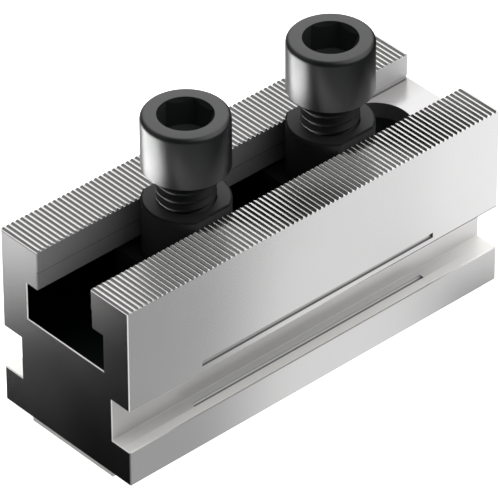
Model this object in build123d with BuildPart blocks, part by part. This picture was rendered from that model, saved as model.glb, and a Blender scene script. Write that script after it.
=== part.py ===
from build123d import *
from math import cos, radians, tan
import os

os.makedirs("parts", exist_ok=True)

# Base jaw of a lathe power chuck: a hardened steel bar with a serrated top, a T-slot that
# holds two T-nuts, and a cap screw in each nut. X runs along the bar from its front end,
# where the T-slot is open, Y across it and Z up. The origin is under the middle of the
# bar, on the face of the rack.

# Bar
jaw_length = 132.0
jaw_width = 50.0
edge_break = 0.25

# Heights of the cross-section, from the rack's face upwards
rack_depth = 3.2
flange_height = 11.1
guide_height = 13.4
upper_height = 32.2

# Guide groove along each side
guide_depth = 7.0

# Serration across the top: 90 degree teeth, 16 to the inch
serration_pitch = 25.4 / 16
serration_depth = 0.55
serration_angle = 90.0

# T-slot, open at the front end and round at the rear one
slot_width = 21.0
slot_land = 7.0
slot_relief = 0.25
neck_depth = 12.7
undercut_width = 30.0
undercut_height = 11.6
slot_end_wall = 7.2

# Shallow channel that carries the slot's upper walls on through the rear end
channel_depth = 7.8

# Grease grooves in each side wall and in each ledge, half round with square ends
grease_radius = 0.8
grease_front_inset = 25.3
grease_rear_inset = 24.0
grease_wall_height = 2.65
grease_ledge_inset = 4.0

# Oblique rack under the bar
rack_width = 32.0
rack_setback = 1.6
rack_pitch = 8.0
rack_root = 0.2
rack_flank_angle = 20.0
rack_obliquity = 18.0
rack_end_land = 5.0
rack_chamfer = 0.2

# T-nuts
nut_clearance = 0.05
nut_flat_depth = 1.55
nut_projection = 2.5
nut_chamfer = 0.5
foot_length = 28.0
foot_corner = 2.0
foot_side_clearance = 0.5
foot_top_clearance = 1.2
rear_nut_inset = 16.2
nut_spacing = 51.1

# Socket-head cap screws, M16
thread_diameter = 16.0
thread_clearance = 0.05
screw_length = 35.0
head_diameter = 24.0
head_height = 16.0
head_chamfer = 1.0
head_edge_break = 0.25
socket_sides = 6
socket_across_flats = 13.0
socket_depth = 8.0
socket_countersink_angle = 90.0
socket_mouth_margin = 0.1
socket_drill_angle = 118.0
screw_tip_chamfer = 1.4
front_tip_gap = 2.3
rear_tip_gap = 2.1

# Levels and stations that follow
front_end = -jaw_length / 2
rear_end = jaw_length / 2
guide_floor = rack_depth + flange_height
guide_roof = guide_floor + guide_height
crest_level = guide_roof + upper_height
root_level = crest_level - serration_depth
land_level = crest_level - slot_land
channel_level = crest_level - channel_depth
neck_level = crest_level - neck_depth
slot_floor = neck_level - undercut_height
slot_end = rear_end - slot_end_wall - undercut_width / 2
relieved_width = slot_width + 2 * slot_relief
tooth_run = serration_depth * tan(radians(serration_angle / 2))
tooth_land = (serration_pitch - 2 * tooth_run) / 2
tooth_count = int(jaw_length / serration_pitch)
notch_width = serration_pitch - tooth_land
notch_corner = 90 + serration_angle / 2
nut_flats = slot_width - 2 * nut_clearance
nut_neck_diameter = nut_flats + 2 * nut_flat_depth
foot_width = undercut_width - 2 * foot_side_clearance
foot_height = undercut_height - foot_top_clearance
nut_height = crest_level + nut_projection - slot_floor
rear_nut_station = slot_end - rear_nut_inset
front_nut_station = rear_nut_station - nut_spacing


# A groove open at the front end, with a semicircular rear end
def round_ended_cut(width, bottom, top):
    with BuildSketch(Plane.XY.offset(bottom)) as outline:
        with Locations((slot_end, 0)):
            Circle(width / 2)
            Rectangle(slot_end - front_end, width, align=(Align.MAX, Align.CENTER))
    extrude(outline.sketch, amount=top - bottom, mode=Mode.SUBTRACT)


# A straight groove along the whole bar, in its middle
def through_cut(width, bottom, top):
    with BuildSketch(Plane.XY.offset(bottom)) as outline:
        Rectangle(jaw_length, width)
    extrude(outline.sketch, amount=top - bottom, mode=Mode.SUBTRACT)


# A half-round groove along the bar, centred on a line of its surface
def grease_cut(y, z):
    start = front_end + grease_front_inset
    end = rear_end - grease_rear_inset
    with BuildSketch(Plane.YZ.offset(start)) as bore:
        with Locations((y, z)):
            Circle(grease_radius)
    extrude(bore.sketch, amount=end - start, mode=Mode.SUBTRACT)


with BuildPart() as base_jaw:
    with BuildSketch(Plane.XY.offset(rack_depth)):
        Rectangle(jaw_length, jaw_width)
    extrude(amount=crest_level - rack_depth)

    # Guide grooves along both sides
    with BuildSketch(Plane.YZ.offset(front_end)):
        for side in (-1, 1):
            with Locations((side * (jaw_width - guide_depth) / 2, (guide_floor + guide_roof) / 2)):
                Rectangle(guide_depth, guide_height)
    extrude(amount=jaw_length, mode=Mode.SUBTRACT)

    # T-slot and the channel behind it
    through_cut(slot_width, land_level, crest_level)
    through_cut(relieved_width, channel_level, land_level)
    round_ended_cut(relieved_width, neck_level, channel_level)
    round_ended_cut(undercut_width, slot_floor, neck_level)

    # Broken edges: all round both end faces, along both sides and along the top of the slot
    bar_ends = base_jaw.faces().filter_by(Axis.X).sort_by(Axis.X)
    end_edges = bar_ends[0].edges() + bar_ends[-1].edges()
    bar_sides = base_jaw.faces().filter_by(Axis.Y).group_by(Axis.Y)
    side_edges = (bar_sides[0] + bar_sides[-1]).edges().filter_by(Axis.X)
    top_edges = base_jaw.edges().group_by(Axis.Z)[-1].filter_by(Axis.X)
    chamfer(ShapeList(set(end_edges + side_edges + top_edges)), edge_break)

    # Rack pad, with its teeth cut across at a slant
    with BuildSketch(Plane.XY):
        Rectangle(jaw_length - 2 * rack_setback, rack_width)
    extrude(amount=rack_depth)
    pad_edges = base_jaw.edges().group_by(Axis.Z)[0]
    chamfer(pad_edges, rack_chamfer)
    tooth_depth = rack_depth - rack_root
    flank_run = tooth_depth * tan(radians(rack_flank_angle))
    gap_top = rack_pitch / 2 - flank_run
    gap_mouth = rack_pitch / 2 + flank_run
    slant_reach = rack_width * tan(radians(rack_obliquity)) / 2
    toothed_length = jaw_length - 2 * (rack_setback + rack_end_land + slant_reach) - gap_mouth
    gap_count = int(toothed_length / rack_pitch) + 1
    slant = Plane.XZ.rotated((0, 0, rack_obliquity))
    with BuildSketch(slant) as rack_gaps:
        for gap in range(gap_count):
            middle = (gap - (gap_count - 1) / 2) * rack_pitch * cos(radians(rack_obliquity))
            with BuildLine():
                Polyline(
                    (middle - gap_mouth / 2, 0),
                    (middle + gap_mouth / 2, 0),
                    (middle + gap_top / 2, tooth_depth),
                    (middle - gap_top / 2, tooth_depth),
                    close=True,
                )
            make_face()
    extrude(amount=rack_width, both=True, mode=Mode.SUBTRACT)

    # Grease grooves
    for side in (-1, 1):
        grease_cut(side * jaw_width / 2, guide_roof + grease_wall_height)
        grease_cut(side * (jaw_width / 2 - grease_ledge_inset), guide_floor)

    # Serration, cut last: a flat-bottomed V between each two teeth and at both ends
    with BuildSketch(Plane.XZ):
        with Locations((0, root_level)):
            with GridLocations(serration_pitch, 0, tooth_count + 1, 1):
                Trapezoid(notch_width, serration_depth, notch_corner, align=(Align.CENTER, Align.MIN))
    extrude(amount=jaw_width / 2, both=True, mode=Mode.SUBTRACT)
base_jaw.part.label = "base_jaw"
export_step(base_jaw.part, "parts/base_jaw.step")

# T-nuts: a foot on the slot's floor and a round neck with two flats between its walls
for name, station in (("front_t_nut", front_nut_station), ("rear_t_nut", rear_nut_station)):
    seat = Plane((station, 0, slot_floor))
    with BuildPart() as t_nut:
        with BuildSketch(seat):
            Circle(nut_neck_diameter / 2)
            Rectangle(nut_neck_diameter, nut_flats, mode=Mode.INTERSECT)
        extrude(amount=nut_height)
        chamfer(t_nut.edges().group_by(Axis.Z)[-1], nut_chamfer)
        with BuildSketch(seat):
            foot = Rectangle(foot_length, foot_width)
            chamfer(foot.vertices(), foot_corner)
        extrude(amount=foot_height)
        with Locations(t_nut.faces().sort_by(Axis.Z)[-1]):
            Hole(thread_diameter / 2 + thread_clearance)
    t_nut.part.label = name
    export_step(t_nut.part, f"parts/{name}.step")

# Cap screws: a plain cylinder stands for the thread, at its outside diameter. Each is partly
# screwed in, with its tip inside the nut, a little off the slot's floor.
screws = (
    ("front_screw", front_nut_station, front_tip_gap),
    ("rear_screw", rear_nut_station, rear_tip_gap),
)
socket_radius = socket_across_flats / 2
socket_corner_radius = socket_radius / cos(radians(180 / socket_sides))
for name, station, tip_gap in screws:
    underhead = Plane((station, 0, slot_floor + tip_gap + screw_length))
    head_top = underhead.offset(head_height)
    with BuildPart() as screw:
        with BuildSketch(underhead):
            Circle(head_diameter / 2)
        extrude(amount=head_height)
        chamfer(screw.edges().group_by(Axis.Z)[-1], head_chamfer)
        chamfer(screw.edges().group_by(Axis.Z)[0], head_edge_break)
        with BuildSketch(underhead):
            Circle(thread_diameter / 2)
        extrude(amount=-screw_length)
        chamfer(screw.edges().group_by(Axis.Z)[0], screw_tip_chamfer)
        with BuildSketch(head_top):
            RegularPolygon(socket_radius, socket_sides, major_radius=False, rotation=180 / socket_sides)
        extrude(amount=-socket_depth, mode=Mode.SUBTRACT)
        with Locations(head_top):
            CounterSinkHole(
                radius=socket_radius,
                counter_sink_radius=socket_corner_radius + socket_mouth_margin,
                depth=socket_depth,
                counter_sink_angle=socket_countersink_angle,
            )
        with Locations(head_top.offset(-socket_depth)):
            Cone(
                bottom_radius=0,
                top_radius=socket_radius,
                height=socket_radius / tan(radians(socket_drill_angle / 2)),
                align=(Align.CENTER, Align.CENTER, Align.MAX),
                mode=Mode.SUBTRACT,
            )
    screw.part.label = name
    export_step(screw.part, f"parts/{name}.step")
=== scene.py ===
from math import cos, pi, radians, sin, tan

import bpy
from mathutils import Matrix, Vector


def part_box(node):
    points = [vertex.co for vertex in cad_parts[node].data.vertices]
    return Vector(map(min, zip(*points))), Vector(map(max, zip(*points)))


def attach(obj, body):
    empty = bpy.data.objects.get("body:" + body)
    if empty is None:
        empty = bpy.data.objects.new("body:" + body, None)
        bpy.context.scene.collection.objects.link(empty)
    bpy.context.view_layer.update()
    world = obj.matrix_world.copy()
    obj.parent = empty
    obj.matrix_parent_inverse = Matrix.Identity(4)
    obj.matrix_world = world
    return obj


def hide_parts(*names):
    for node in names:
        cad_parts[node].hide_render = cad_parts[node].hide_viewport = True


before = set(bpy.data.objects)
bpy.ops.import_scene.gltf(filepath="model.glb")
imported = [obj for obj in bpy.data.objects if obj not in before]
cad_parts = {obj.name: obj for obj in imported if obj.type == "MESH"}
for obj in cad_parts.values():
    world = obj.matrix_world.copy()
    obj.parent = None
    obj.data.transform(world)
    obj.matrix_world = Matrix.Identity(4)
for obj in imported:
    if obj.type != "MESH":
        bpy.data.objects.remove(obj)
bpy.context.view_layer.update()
bpy.ops.object.select_all(action="DESELECT")

# Base jaw: one bar of case-hardened steel. It is milled, then ground bright on its sides, its
# ledges and its serration, so it mirrors its surroundings softly. In the chuck it slides on
# its guide grooves. Its shape is the CAD solid's, and only its finish is made here.


def linear(code):
    """Turns an sRGB colour written as hex digits into the linear one that shaders take."""
    shares = [int(code[i : i + 2], 16) / 255 for i in (0, 2, 4)]
    return [s / 12.92 if s <= 0.04045 else ((s + 0.055) / 1.055) ** 2.4 for s in shares] + [1]


def add_node(tree, kind, settings):
    """Adds a node with its settings: properties, and inputs by name or number. An input is
    set to a number or a colour, or linked where the setting is another node's output."""
    node = tree.nodes.new(kind)
    for name, value in settings.items():
        if isinstance(name, str) and name not in node.inputs:
            setattr(node, name, value)
        elif isinstance(value, bpy.types.NodeSocket):
            tree.links.new(value, node.inputs[name])
        else:
            node.inputs[name].default_value = value
    return node


def new_material(name, settings):
    """A material with a Principled shader set as given. Returns it and its shader."""
    material = bpy.data.materials.new(name)
    material.use_nodes = True
    shader = material.node_tree.nodes["Principled BSDF"]
    for socket, value in settings.items():
        shader.inputs[socket].default_value = value
    return material, shader


def mask(tree, *factors):
    """Multiplies factors. Each is a number, a node's output, the limits (value, low, high)
    between which it is one, a fade (value, start, end, share at start, share at end), or a
    list of such factors, of which the largest counts."""
    shares = []
    for factor in factors:
        if isinstance(factor, list):
            share = mask(tree, factor[0])
            for other in factor[1:]:
                settings = {"operation": "MAXIMUM", 0: share, 1: mask(tree, other)}
                share = add_node(tree, "ShaderNodeMath", settings).outputs[0]
            shares.append(share)
        elif not isinstance(factor, tuple):
            shares.append(factor)
        elif len(factor) == 3:
            value, low, high = factor
            for test, limit in (("GREATER_THAN", low), ("LESS_THAN", high)):
                if limit is not None:
                    settings = {"operation": test, 0: value, 1: limit}
                    shares.append(add_node(tree, "ShaderNodeMath", settings).outputs[0])
        else:
            settings = dict(zip(("Value", "From Min", "From Max", "To Min", "To Max"), factor))
            shares.append(add_node(tree, "ShaderNodeMapRange", settings).outputs[0])
    total = shares[0]
    for share in shares[1:]:
        settings = {"operation": "MULTIPLY", 0: total, 1: share}
        total = add_node(tree, "ShaderNodeMath", settings).outputs[0]
    return total


# Ground tool steel: a satin mirror. The grinding grain runs along the bar and is drawn
# 0.4 mm wide, some ten times the real one, so that it shows at all. The slot's walls are
# milled, so duller, and its undercut is painted black as shade. The broken edges are dulled by
# stoning and painted with lines of shade, highlights are painted on the lands and some edges,
# the grease grooves are painted with shade, and the rack's pad is left matt.
# Colours: the bare steel, a painted highlight, the rack pad's matt grey, and painted shades from
# pale grey to black
steel_white = linear("D4D3D3")
painted_highlight_white = linear("ECEBE8")
matt_pad = linear("B9B9B6")
painted_shade_pale = linear("848482")
painted_shade_grey = linear("747472")
painted_shade_light = linear("606366")
painted_shade_dark = linear("2A2D30")
painted_shade_black = linear("0A0D0E")
ground_steel, shader = new_material("ground tool steel", {})
tree = ground_steel.node_tree

# Where the bar's parts lie: stations along it, distances from its middle plane, and heights.
# A margin or a hair takes in, or leaves out, the face that lies on a limit.
margin = 0.0001
hair = 0.00001
front_end, rear_end = -0.066, 0.066
slot_end, slot_rear = 0.0438, 0.0589
# Where the undercut's painted shade starts to lighten towards the rear
painted_shade_light_start = 0.0338
grooves_start, grooves_end = -0.0407, 0.042
wall_reach = 0.01075
rim_reach = 0.01105
undercut_reach = 0.015
pad_reach = 0.016
guide_wall = 0.018
ledge_groove = 0.021
side_face = 0.025
pad_top = 0.0032
ledge = 0.0143
guide_roof = 0.0277
side_groove = 0.03035
undercut_floor, undercut_roof = 0.0356, 0.0472
channel_floor = 0.0521
relief_step = 0.0529
tooth_roots, tooth_crests = 0.0593, 0.0599
edge_break = 0.00025
groove_radius = 0.0008

# How wide its fine lines of painted shade and painted highlight are, and between which heights the
# top one is
relief_line = 0.00035
roof_line = 0.0005
foot_line = 0.0003
top_line_heights = (0.05895, 0.05915)

# Where painted highlight and painted shade start and end as they fade along, across or up the bar
front_paint_fade = (-0.064, -0.045)
edge_shade_fade = (0.040, 0.060)
ledge_highlight_fade = (0.042, 0.058)
flange_shade_fade = (0.045, 0.062)
guide_shade_fade = (-0.010, 0.050)
roof_shade = (0.0, 0.030)
channel_shadow = (0.002, 0.0105)
front_shade_across = (-0.012, 0.002)
front_shade_height = (0.010, 0.025)

# Parts of a face's normal: square to an axis, upright, or on a broken edge
square_on = 0.9
upright = 0.5
slant = (0.69, 0.72)

place = add_node(tree, "ShaderNodeTexCoord", {}).outputs["Object"]
axes = add_node(tree, "ShaderNodeSeparateXYZ", {"Vector": place}).outputs
facing = add_node(tree, "ShaderNodeNewGeometry", {}).outputs["True Normal"]
faces = add_node(tree, "ShaderNodeSeparateXYZ", {"Vector": facing}).outputs
along, height = axes["X"], axes["Z"]
aside, sideways = (
    add_node(tree, "ShaderNodeMath", {"operation": "ABSOLUTE", 0: value}).outputs[0]
    for value in (axes["Y"], faces["Y"])
)
near = (axes["Y"], None, 0.0)
far = (axes["Y"], 0.0, None)
beside_slot = (aside, rim_reach, None)
inside_ends = mask(tree, (along, front_end + edge_break, rear_end - edge_break))
groove_length = mask(tree, (along, grooves_start, grooves_end))

# The T-slot: its undercut, painted black as shade and less dark towards the rear, its milled
# walls, the painted line of shade under their relief, and the painted shade on the channel's floor
undercut = mask(
    tree,
    (along, front_end + edge_break, slot_rear),
    (aside, None, undercut_reach + margin),
    (height, undercut_floor - margin, undercut_roof + margin),
)
undercut_rear = mask(tree, undercut, (along, painted_shade_light_start, None))
walls = mask(
    tree,
    inside_ends,
    (faces["Z"], None, upright),
    (aside, None, wall_reach + margin),
    (height, undercut_roof + margin, None),
)
# The walls' round end below the channel floor, painted half dark as shade
round_end = mask(tree, walls, (along, slot_end, None), (height, None, channel_floor))
relief = mask(
    tree,
    (aside, wall_reach - margin, wall_reach + margin),
    (height, relief_step - relief_line, relief_step),
    (along, slot_end, slot_rear, 0.9, 0.35),
)
channel_shade = mask(
    tree,
    (height, channel_floor - margin, channel_floor + margin),
    (faces["Z"], square_on, None),
    (axes["Y"], *channel_shadow, 0.0, 0.35),
)

# The broken edges: dulled by stoning and painted with shade along the sides, painted with shade at
# the slot's rim and under the roof of the guide grooves, and painted with a highlight at the
# front, apart from the far lip
dull_shaded_edges = mask(
    tree,
    (sideways, *slant),
    beside_slot,
    (height, None, tooth_roots),
    (along, *edge_shade_fade, 1.0, 0.2),
    (along, *front_paint_fade, 0.3, 1.0),
)
# Painted shade on the slot's rim
slot_rim = mask(
    tree, (sideways, *slant), (aside, None, rim_reach), (height, tooth_roots, None)
)
# Painted shade under the roof of the guide grooves
roof_edge = mask(
    tree,
    (aside, side_face - edge_break - margin, None),
    (height, guide_roof - margin, guide_roof + roof_line),
    (along, *roof_shade, 0.0, 1.0),
)
# Painted highlight on the front's broken edges
front_edges = mask(
    tree,
    (faces["X"], -slant[1], -slant[0]),
    (along, None, front_end + edge_break + hair),
    (height, ledge - edge_break, None),
    [(faces["Y"], -upright, None), beside_slot],
)

# The front face: a fine line of painted shade under the far arm's top, and painted shade low down
# on the near side
front_face = mask(tree, (faces["X"], None, -square_on))
# A fine line of painted shade under the far arm's top
top_line = mask(tree, front_face, far, (height, *top_line_heights))
# Painted shade low down on the near side of the front face
front_low = mask(
    tree,
    front_face,
    (axes["Y"], *front_shade_across, 0.5, 0.0),
    (height, *front_shade_height, 1.0, 0.0),
)

# The sides: painted highlight on the ledges outside their groove and at both ends, painted shade
# in the grease grooves and on the guide grooves' walls, a painted highlight along the walls' foot,
# painted shade towards the flange's rear end, and the rack's pad
ledge_face = mask(tree, inside_ends, (height, ledge - margin, ledge + margin))
# Painted highlight on the ledges outside their groove and towards both ends
ledge_outer = mask(
    tree,
    ledge_face,
    [
        (aside, ledge_groove + groove_radius, None),
        (along, *ledge_highlight_fade, 0.0, 1.0),
        (along, *front_paint_fade, 0.8, 0.0),
    ],
)
# Painted shade in the upper part of the side grease grooves
in_side = mask(
    tree,
    groove_length,
    (height, side_groove - groove_radius, side_groove + groove_radius),
    (aside, side_face - 2 * groove_radius, side_face - 2 * hair),
    (height, side_groove - 0.8 * groove_radius, side_groove - 0.2 * groove_radius, 1.0, 0.0),
)
in_ledge = mask(
    tree,
    groove_length,
    (aside, ledge_groove - groove_radius, ledge_groove + groove_radius),
    (height, ledge - 2 * groove_radius, ledge - 2 * hair),
)
# Painted shade in the ledges' grease grooves
ledge_groove_shade = mask(
    tree,
    in_ledge,
    (aside, ledge_groove - 0.7 * groove_radius, ledge_groove - 0.5 * groove_radius, 0.0, 1.0),
)
# The guide grooves' walls, painted with shade that fades towards the rear
guide_walls = mask(
    tree, (aside, guide_wall - margin, guide_wall + margin), (height, ledge + margin, guide_roof)
)
# A fine line of painted highlight along the guide walls' foot
joint = mask(
    tree, (aside, guide_wall - margin, guide_wall + margin), (height, ledge, ledge + foot_line)
)
# Painted shade towards the flange's rear end
flange_end = mask(
    tree,
    near,
    (sideways, square_on, None),
    (height, None, ledge),
    (along, *flange_shade_fade, 0.0, 0.28),
)
pad = mask(tree, (aside, None, pad_reach + margin), (height, None, pad_top - hair))
# The serration's lands, where a highlight is painted
lands = mask(tree, (height, tooth_crests - margin, None), (faces["Z"], square_on, None))

# The painted highlights, the painted shades and the pad's matt grey lie over the bare steel in
# this order, each where its mask says
colour = steel_white
for share, coat in (
    (lands, painted_highlight_white),
    (front_edges, painted_highlight_white),
    (ledge_outer, painted_highlight_white),
    (joint, painted_highlight_white),
    (undercut, painted_shade_black),
    (mask(tree, undercut_rear, 0.9), painted_shade_light),
    (mask(tree, dull_shaded_edges, 0.65), painted_shade_dark),
    (relief, painted_shade_dark),
    (mask(tree, round_end, 0.5), painted_shade_dark),
    (roof_edge, painted_shade_dark),
    (mask(tree, slot_rim, 0.75), painted_shade_dark),
    (channel_shade, painted_shade_grey),
    (flange_end, painted_shade_grey),
    (front_low, painted_shade_dark),
    (mask(tree, top_line, 0.7), painted_shade_dark),
    (in_side, painted_shade_grey),
    (ledge_groove_shade, painted_shade_pale),
    (mask(tree, guide_walls, (along, *guide_shade_fade, 0.3, 0.0)), painted_shade_grey),
    (pad, matt_pad),
):
    settings = {"data_type": "RGBA", 0: share, 6: colour, 7: coat}
    colour = add_node(tree, "ShaderNodeMix", settings).outputs[2]
tree.links.new(colour, shader.inputs["Base Color"])

# The satin varies from place to place in soft clouds, and each part adds to its roughness and
# takes from its metallic look where the pad and walls are matt and where highlight or shade is
# painted
cloud_size = 0.033
cloud = add_node(
    tree, "ShaderNodeTexNoise", {"Scale": 1 / cloud_size, "Detail": 2.0, "Vector": place}
).outputs["Fac"]
for socket, value, changes in (
    (
        "Roughness",
        mask(tree, (cloud, 0.3, 0.7, 0.21, 0.26)),
        (
            (walls, 0.36),
            (undercut, 0.25),
            (dull_shaded_edges, 0.25),
            (in_side, 0.3),
            (in_ledge, 0.3),
            (pad, 0.3),
            (ledge_face, 0.1),
            (lands, 0.12),
            (guide_walls, 0.16),
            (front_face, -0.01),
        ),
    ),
    (
        "Metallic",
        1.0,
        (
            (pad, -0.9),
            (lands, -0.65),
            (walls, -0.12),
            (front_edges, -1.0),
            (undercut_rear, -0.8),
            (roof_edge, -0.6),
            (in_ledge, -0.4),
            (mask(tree, near, ledge_face), -0.5),
            (mask(tree, near, ledge_outer), -0.2),
            (guide_walls, -0.4),
        ),
    ),
):
    for part, change in changes:
        settings = {"operation": "MULTIPLY_ADD", 0: part, 1: change, 2: value}
        value = add_node(tree, "ShaderNodeMath", settings).outputs[0]
    tree.links.new(value, shader.inputs[socket])

grain_width = 0.0004
grain_length = 0.02
grain_depth = 0.00002
along_bar = add_node(
    tree,
    "ShaderNodeMapping",
    {"Scale": (1 / grain_length, 1 / grain_width, 1 / grain_width), "Vector": place},
).outputs["Vector"]
grain = add_node(
    tree, "ShaderNodeTexNoise", {"Scale": 1.0, "Detail": 3.0, "Vector": along_bar}
).outputs["Fac"]
bump = add_node(
    tree, "ShaderNodeBump", {"Strength": 0.05, "Distance": grain_depth, "Height": grain}
)
tree.links.new(bump.outputs["Normal"], shader.inputs["Normal"])

base_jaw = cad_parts["base_jaw"]
base_jaw.data.materials.clear()
base_jaw.data.materials.append(ground_steel)

# T-nuts: turned and milled steel with a black oxide skin. Each stands on the slot's floor, its
# foot under the lips and its neck between the walls, and slides along the slot. Their shape is
# the CAD solids', and only their finish is made here.

# Black oxide, milled: a matt, slightly oily black, duller on the chamfers and down in the slot,
# where it is painted darker as shade.
oxide_black = linear("161718")
nut_shade_black = linear("050606")
black_oxide_nut, shader = new_material("black oxide, milled", {"IOR": 1.7})
tree = black_oxide_nut.node_tree
shade_level, neck_top = 0.0500, 0.0595
place = add_node(tree, "ShaderNodeTexCoord", {}).outputs["Object"]
height = add_node(tree, "ShaderNodeSeparateXYZ", {"Vector": place}).outputs["Z"]
facing = add_node(tree, "ShaderNodeNewGeometry", {}).outputs["True Normal"]
upward = add_node(tree, "ShaderNodeSeparateXYZ", {"Vector": facing}).outputs["Z"]
# Painted shade: darker and duller on the foot, the chamfers and the neck's lower part
dull = mask(
    tree,
    [
        (height, None, undercut_roof),
        (upward, *slant),
        (height, shade_level, neck_top, 0.8, 0.0),
    ],
)
settings = {"data_type": "RGBA", 0: dull, 6: oxide_black, 7: nut_shade_black}
colour = add_node(tree, "ShaderNodeMix", settings).outputs[2]
tree.links.new(colour, shader.inputs["Base Color"])
tree.links.new(mask(tree, (dull, 0.0, 1.0, 0.6, 1.0)), shader.inputs["Roughness"])
for name in ("front_t_nut", "rear_t_nut"):
    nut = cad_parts[name]
    nut.data.materials.clear()
    nut.data.materials.append(black_oxide_nut)

# Cap screws: forged alloy steel, M16, with a black oxide skin, partly screwed into the nuts.
# The head is turned, with a rounded top edge and a countersunk, broached hexagon, and the
# thread is rolled.

# Black oxide, forged: a satin black with clear highlights. Its speckle is drawn 0.7 mm wide,
# coarser than the real one, so that it shows.
speckle = 0.0007
speckle_depth = 0.00002
black_oxide_screw, shader = new_material(
    "black oxide, forged", {"Base Color": linear("131415"), "IOR": 1.75, "Roughness": 0.33}
)
tree = black_oxide_screw.node_tree
place = add_node(tree, "ShaderNodeTexCoord", {}).outputs["Object"]
fine = add_node(
    tree, "ShaderNodeTexNoise", {"Scale": 1 / speckle, "Detail": 2.0, "Vector": place}
).outputs["Fac"]
bump = add_node(
    tree, "ShaderNodeBump", {"Strength": 0.5, "Distance": speckle_depth, "Height": fine}
)
tree.links.new(bump.outputs["Normal"], shader.inputs["Normal"])

# Black oxide, rolled: oily and dull, so that only the thread's crests catch the light.
black_oxide_thread, shader = new_material(
    "black oxide, rolled", {"Base Color": linear("1A1B1C"), "IOR": 1.35, "Roughness": 0.5}
)

# Black oxide, broached: a dull black inside the hexagon, darker on its countersunk mouth.
broached_black = linear("2A2E2C")
mouth_black = linear("161817")
black_oxide_socket, shader = new_material(
    "black oxide, broached", {"IOR": 1.15, "Roughness": 0.5}
)
tree = black_oxide_socket.node_tree
facing = add_node(tree, "ShaderNodeNewGeometry", {}).outputs["True Normal"]
upward = add_node(tree, "ShaderNodeSeparateXYZ", {"Vector": facing}).outputs["Z"]
mouth = mask(tree, (upward, *slant))
settings = {"data_type": "RGBA", 0: mouth, 6: broached_black, 7: mouth_black}
colour = add_node(tree, "ShaderNodeMix", settings).outputs[2]
tree.links.new(colour, shader.inputs["Base Color"])

# The head with its rounded top edge, and its socket: broached, drilled and countersunk
head_height = 0.016
head_radius = 0.012
head_round, round_steps = 0.0014, 6
underhead_break, break_steps = 0.00025, 2
socket_across_flats = 0.013
socket_corners = socket_across_flats / 2 / cos(pi / 6)
socket_depth = 0.008
socket_countersink = radians(90)
socket_drill = radians(118)
mouth_margin = 0.0001

# The rolled thread, its chamfered tip and the plain neck under the head
thread_radius = 0.008
thread_depth = 0.0011
thread_pitch = 0.00265
flat_share = 0.1
shoulder = 0.75
spare_turns = 3
tip_chamfer = 0.0014
neck_radius = 0.0069
neck_length = 0.0032

# How finely round pieces are drawn, and how far cutters and the shank reach past a face
turn_steps = 96
smooth_angle = radians(35)
touching = 1e-6
overlap = 1e-5
overcut = 0.001
shank_overlap = 0.0005


def edit(action):
    """Runs an operator on the active object's whole mesh in edit mode."""
    bpy.ops.object.mode_set(mode="EDIT")
    bpy.ops.mesh.select_all(action="SELECT")
    action()
    bpy.ops.object.mode_set(mode="OBJECT")


def cut_away(piece, cutter):
    """Takes the cutter's volume out of the piece and deletes the cutter."""
    bpy.ops.object.select_all(action="DESELECT")
    bpy.context.view_layer.objects.active = piece
    modifier = piece.modifiers.new("cut", "BOOLEAN")
    modifier.operation = "DIFFERENCE"
    modifier.solver = "EXACT"
    modifier.object = cutter
    bpy.ops.object.modifier_apply(modifier="cut")
    bpy.data.objects.remove(cutter)


def round_edge(piece, level, width, steps):
    """Bevels the ring of the piece's edges that lies at a height."""
    bpy.ops.object.mode_set(mode="EDIT")
    bpy.ops.mesh.select_all(action="DESELECT")
    bpy.ops.object.mode_set(mode="OBJECT")
    points = piece.data.vertices
    for edge in piece.data.edges:
        heights = [points[v].co.z + piece.location.z for v in edge.vertices]
        edge.select = all(abs(h - level) < touching for h in heights)
    bpy.ops.object.mode_set(mode="EDIT")
    bpy.ops.mesh.select_mode(type="EDGE")
    bpy.ops.mesh.bevel(offset=width, offset_type="OFFSET", segments=steps, profile=0.5)
    bpy.ops.object.mode_set(mode="OBJECT")


def screw_head(x, underhead):
    """The head with its rounded edge and its countersunk, drilled and broached hexagon."""
    top = underhead + head_height
    bpy.ops.mesh.primitive_cylinder_add(
        vertices=turn_steps,
        radius=head_radius,
        depth=head_height,
        location=(x, 0, underhead + head_height / 2),
    )
    head = bpy.context.object
    round_edge(head, top, head_round, round_steps)
    round_edge(head, underhead, underhead_break, break_steps)
    bpy.ops.mesh.primitive_cylinder_add(
        vertices=6, radius=socket_corners, depth=2 * socket_depth, location=(x, 0, top)
    )
    cut_away(head, bpy.context.object)
    mouth_radius = socket_corners + mouth_margin
    cone_depth = mouth_radius / tan(socket_countersink / 2)
    bpy.ops.mesh.primitive_cone_add(
        vertices=turn_steps,
        radius1=0,
        radius2=mouth_radius + overcut * tan(socket_countersink / 2),
        depth=cone_depth + overcut,
        location=(x, 0, top + (overcut - cone_depth) / 2),
    )
    cut_away(head, bpy.context.object)
    drill_depth = socket_across_flats / 2 / tan(socket_drill / 2)
    bpy.ops.mesh.primitive_cone_add(
        vertices=turn_steps,
        radius1=0,
        radius2=socket_across_flats / 2,
        depth=drill_depth,
        location=(x, 0, top - socket_depth - drill_depth / 2 + overlap),
    )
    cut_away(head, bpy.context.object)
    return head


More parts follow.
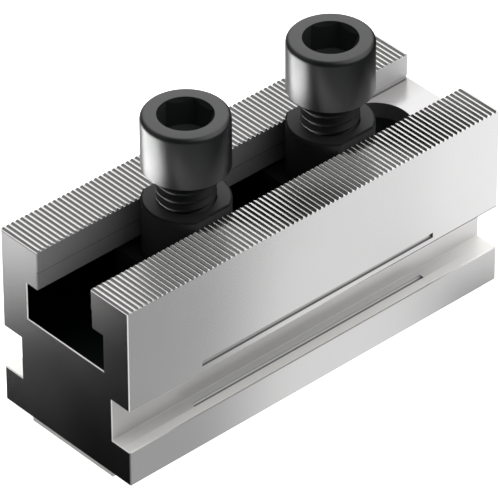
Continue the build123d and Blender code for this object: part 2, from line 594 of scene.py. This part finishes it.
def threaded_shank(x, tip, underhead):
    """The rolled thread as one spun surface, cut level at both ends and faded into the neck.
    Its profile has a narrow root and crest and a point on each flank, near the crest."""
    root = thread_radius - thread_depth
    crest = low = flat_share * thread_pitch
    rise = (thread_pitch - crest - low) / 2
    profile = [
        (root, 0),
        (root, low),
        (root + shoulder * thread_depth, low + shoulder * rise),
        (thread_radius, low + rise),
        (thread_radius, low + rise + crest),
        (root + shoulder * thread_depth, low + (2 - shoulder) * rise + crest),
        (root, thread_pitch),
    ]
    mesh = bpy.data.meshes.new("thread")
    edges = [(i, i + 1) for i in range(len(profile) - 1)]
    mesh.from_pydata([(r, 0, z) for r, z in profile], edges, [])
    shank = bpy.data.objects.new("thread", mesh)
    bpy.context.collection.objects.link(shank)
    bpy.ops.object.select_all(action="DESELECT")
    shank.select_set(True)
    bpy.context.view_layer.objects.active = shank
    spin = shank.modifiers.new("spin", "SCREW")
    spin.screw_offset = thread_pitch
    spin.iterations = int((underhead - tip) / thread_pitch) + spare_turns
    spin.steps = spin.render_steps = turn_steps
    bpy.ops.object.modifier_apply(modifier="spin")
    edit(lambda: bpy.ops.mesh.remove_doubles(threshold=touching))
    shank.location = (x, 0, tip - spare_turns / 2 * thread_pitch)
    bpy.ops.object.transform_apply(location=True, rotation=True, scale=True)
    for level, outer in ((tip, False), (underhead + shank_overlap, True)):
        edit(
            lambda: bpy.ops.mesh.bisect(
                plane_co=(x, 0, level),
                plane_no=(0, 0, 1),
                use_fill=True,
                clear_outer=outer,
                clear_inner=not outer,
            )
        )
    edit(lambda: bpy.ops.mesh.normals_make_consistent(inside=False))
    for vertex in shank.data.vertices:
        reach = Vector((vertex.co.x - x, vertex.co.y))
        fade = min(max((vertex.co.z - underhead + neck_length) / thread_pitch, 0), 1)
        radius = reach.length + (neck_radius - reach.length) * fade
        radius = min(radius, thread_radius - tip_chamfer + vertex.co.z - tip)
        # The middle of each cut end stays where it is
        if reach.length > root / 2:
            reach = reach.normalized() * radius
            vertex.co.x, vertex.co.y = x + reach.x, reach.y
    return shank


screws = []
for name, body in (("front_screw", "front_bolt"), ("rear_screw", "rear_bolt")):
    low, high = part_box(name)
    x = (low.x + high.x) / 2
    underhead = high.z - head_height
    head = screw_head(x, underhead)
    shank = threaded_shank(x, low.z, underhead)
    head.data.materials.clear()
    head.data.materials.append(black_oxide_screw)
    head.data.materials.append(black_oxide_socket)
    for face in head.data.polygons:
        inside = Vector((face.center.x, face.center.y)).length < socket_corners
        above_underside = face.center.z > -head_height / 2
        if inside and above_underside and face.normal.z < square_on:
            face.material_index = 1
    shank.data.materials.append(black_oxide_thread)
    bpy.ops.object.select_all(action="DESELECT")
    shank.select_set(True)
    head.select_set(True)
    bpy.context.view_layer.objects.active = head
    bpy.ops.object.join()
    bpy.ops.object.transform_apply(location=True, rotation=True, scale=True)
    bpy.ops.object.shade_smooth_by_angle(angle=smooth_angle)
    head.name = name.replace("_", "_cap_")
    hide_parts(name)
    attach(head, body)
    screws.append(head)

# Studio: a glowing white table, a soft surround that is bright behind the jaw and on its
# right, and large soft boxes. The table lights the picture but leaves the steel's
# reflections to the surround, as a cut-out product photograph does.
view = bpy.context.scene.view_settings
view.view_transform = "Standard"

world = bpy.data.worlds.new("surround")
bpy.context.scene.world = world
world.use_nodes = True
tree = world.node_tree
tree.nodes.clear()
direction = add_node(tree, "ShaderNodeTexCoord", {}).outputs["Generated"]


def toward(azimuth, elevation):
    """The unit vector at an azimuth, counted from the X axis, and an elevation."""
    a, e = radians(azimuth), radians(elevation)
    return Vector((cos(a) * cos(e), sin(a) * cos(e), sin(e)))


# The surround's bright areas: azimuth, elevation and spread in degrees, and strength. Elsewhere
# it is nearly black.
glow = 0.004
for azimuth, elevation, spread, strength in (
    (48, 42, 44, 1.38),
    (-48, 42, 50, 1.15),
    (-132, -60, 60, 0.35),
    (135, 35, 42, 0.25),
    (62, -16, 42, 0.6),
    (30, -70, 44, 0.45),
):
    middle = toward(azimuth, elevation)
    nearness = add_node(
        tree, "ShaderNodeVectorMath", {"operation": "DOT_PRODUCT", 0: direction, 1: middle}
    ).outputs["Value"]
    bright = add_node(
        tree,
        "ShaderNodeMapRange",
        {
            "interpolation_type": "SMOOTHSTEP",
            "Value": nearness,
            "From Min": cos(radians(spread)),
            "From Max": 1.0,
            "To Max": strength,
        },
    ).outputs["Result"]
    settings = {"operation": "ADD", 0: glow, 1: bright}
    glow = add_node(tree, "ShaderNodeMath", settings).outputs[0]
surround = add_node(tree, "ShaderNodeBackground", {"Color": glow, "Strength": 1.0})
backdrop = add_node(tree, "ShaderNodeBackground", {"Color": linear("FFFFFF"), "Strength": 1.0})
seen = add_node(tree, "ShaderNodeLightPath", {}).outputs["Is Camera Ray"]
mix = add_node(
    tree, "ShaderNodeMixShader", {"Fac": seen, 1: surround.outputs[0], 2: backdrop.outputs[0]}
)
add_node(tree, "ShaderNodeOutputWorld", {"Surface": mix.outputs["Shader"]})

# White light table: an opal sheet lit from below, so matt and evenly white.
table_white, shader = new_material(
    "white light table",
    {
        "Base Color": linear("F2F2F2"),
        "Roughness": 1.0,
        "Emission Color": linear("FFFFFF"),
        "Emission Strength": 1.0,
    },
)
table_radius = 12
table_gap = 0.0002
bpy.ops.mesh.primitive_circle_add(
    vertices=64, radius=table_radius, fill_type="NGON", location=(0, 0, -table_gap)
)
floor = bpy.context.object
floor.name = "floor"
floor.data.materials.append(table_white)
floor.visible_glossy = False
floor.visible_shadow = False


def screw_set(name, state):
    """A light's list of pieces that holds the screws, to light them alone or leave them out."""
    group = bpy.data.collections.new(name)
    for screw in screws:
        group.objects.link(screw)
    for entry in group.collection_objects:
        entry.light_linking.link_state = state
    return group


def soft_box(name, aim, azimuth, elevation, distance, size, brightness, lit=None):
    """A soft box that faces a point from a direction and distance, out of the camera's sight."""
    light = bpy.data.lights.new(name, "AREA")
    light.shape = "RECTANGLE"
    light.size, light.size_y = size
    light.energy = brightness * pi * size[0] * size[1]
    box = bpy.data.objects.new(name, light)
    bpy.context.collection.objects.link(box)
    box.location = Vector(aim) + distance * toward(azimuth, elevation)
    box.rotation_euler = (-toward(azimuth, elevation)).to_track_quat("-Z", "Y").to_euler()
    box.visible_camera = False
    box.light_linking.receiver_collection = lit
    return box


# One box overhead for all, five panels for all but the screws, and a strip for the screws alone
screws_only = screw_set("screws only", "INCLUDE")
all_but_screws = screw_set("all but the screws", "EXCLUDE")
overhead = soft_box("overhead", (0, 0, 0), 0, 90, 1.2, (1.5, 1.5), 1.7)
overhead.visible_glossy = False
for name, aim, azimuth, elevation, distance, size, brightness in (
    ("right_fill", (0.0, -0.025, 0.035), -48, -37, 0.16, (0.30, 0.26), 0.40),
    ("right_panel", (0.0059, -0.0196, 0.035), -48, -37, 0.15, (0.054, 0.26), 0.62),
    ("right_rear", (0.1060, 0.0104, 0.0941), -48, -37, 0.15, (0.135, 0.144), 0.88),
    ("upper_rear", (0.1115, 0.080, 0.02), -48, 37, 0.30, (0.30, 0.25), 0.7),
    ("left_strip", (0.0238, 0.0214, -0.09), 133, 0, 0.30, (0.175, 0.10), 1.15),
):
    soft_box(name, aim, azimuth, elevation, distance, size, brightness, all_but_screws)
screw_strip = soft_box(
    "screw_strip", (0.002, 0, 0.08), 134, -34, 0.35, (0.35, 0.20), 6.8, screws_only
)
screw_strip.light_linking.blocker_collection = screws_only
screw_strip.data.cycles.use_multiple_importance_sampling = False

# Camera: at the photograph's place, found from the edges and corners that show in it. Its focal
# length is in millimetres, for a film 36 mm wide.
focal_length = 435.34
camera_place = (-0.859499, -0.951220, 1.001021)
camera_azimuth = radians(-42.0575)
camera_elevation = radians(37.0607)
camera_roll = radians(-0.2624)
lens = bpy.data.cameras.new("camera")
lens.lens = focal_length
camera = bpy.data.objects.new("camera", lens)
bpy.context.collection.objects.link(camera)
turn = Matrix.Rotation(camera_azimuth, 4, "Z") @ Matrix.Rotation(pi / 2 - camera_elevation, 4, "X")
camera.matrix_world = (
    Matrix.Translation(camera_place) @ turn @ Matrix.Rotation(camera_roll, 4, "Z")
)
bpy.context.scene.camera = camera
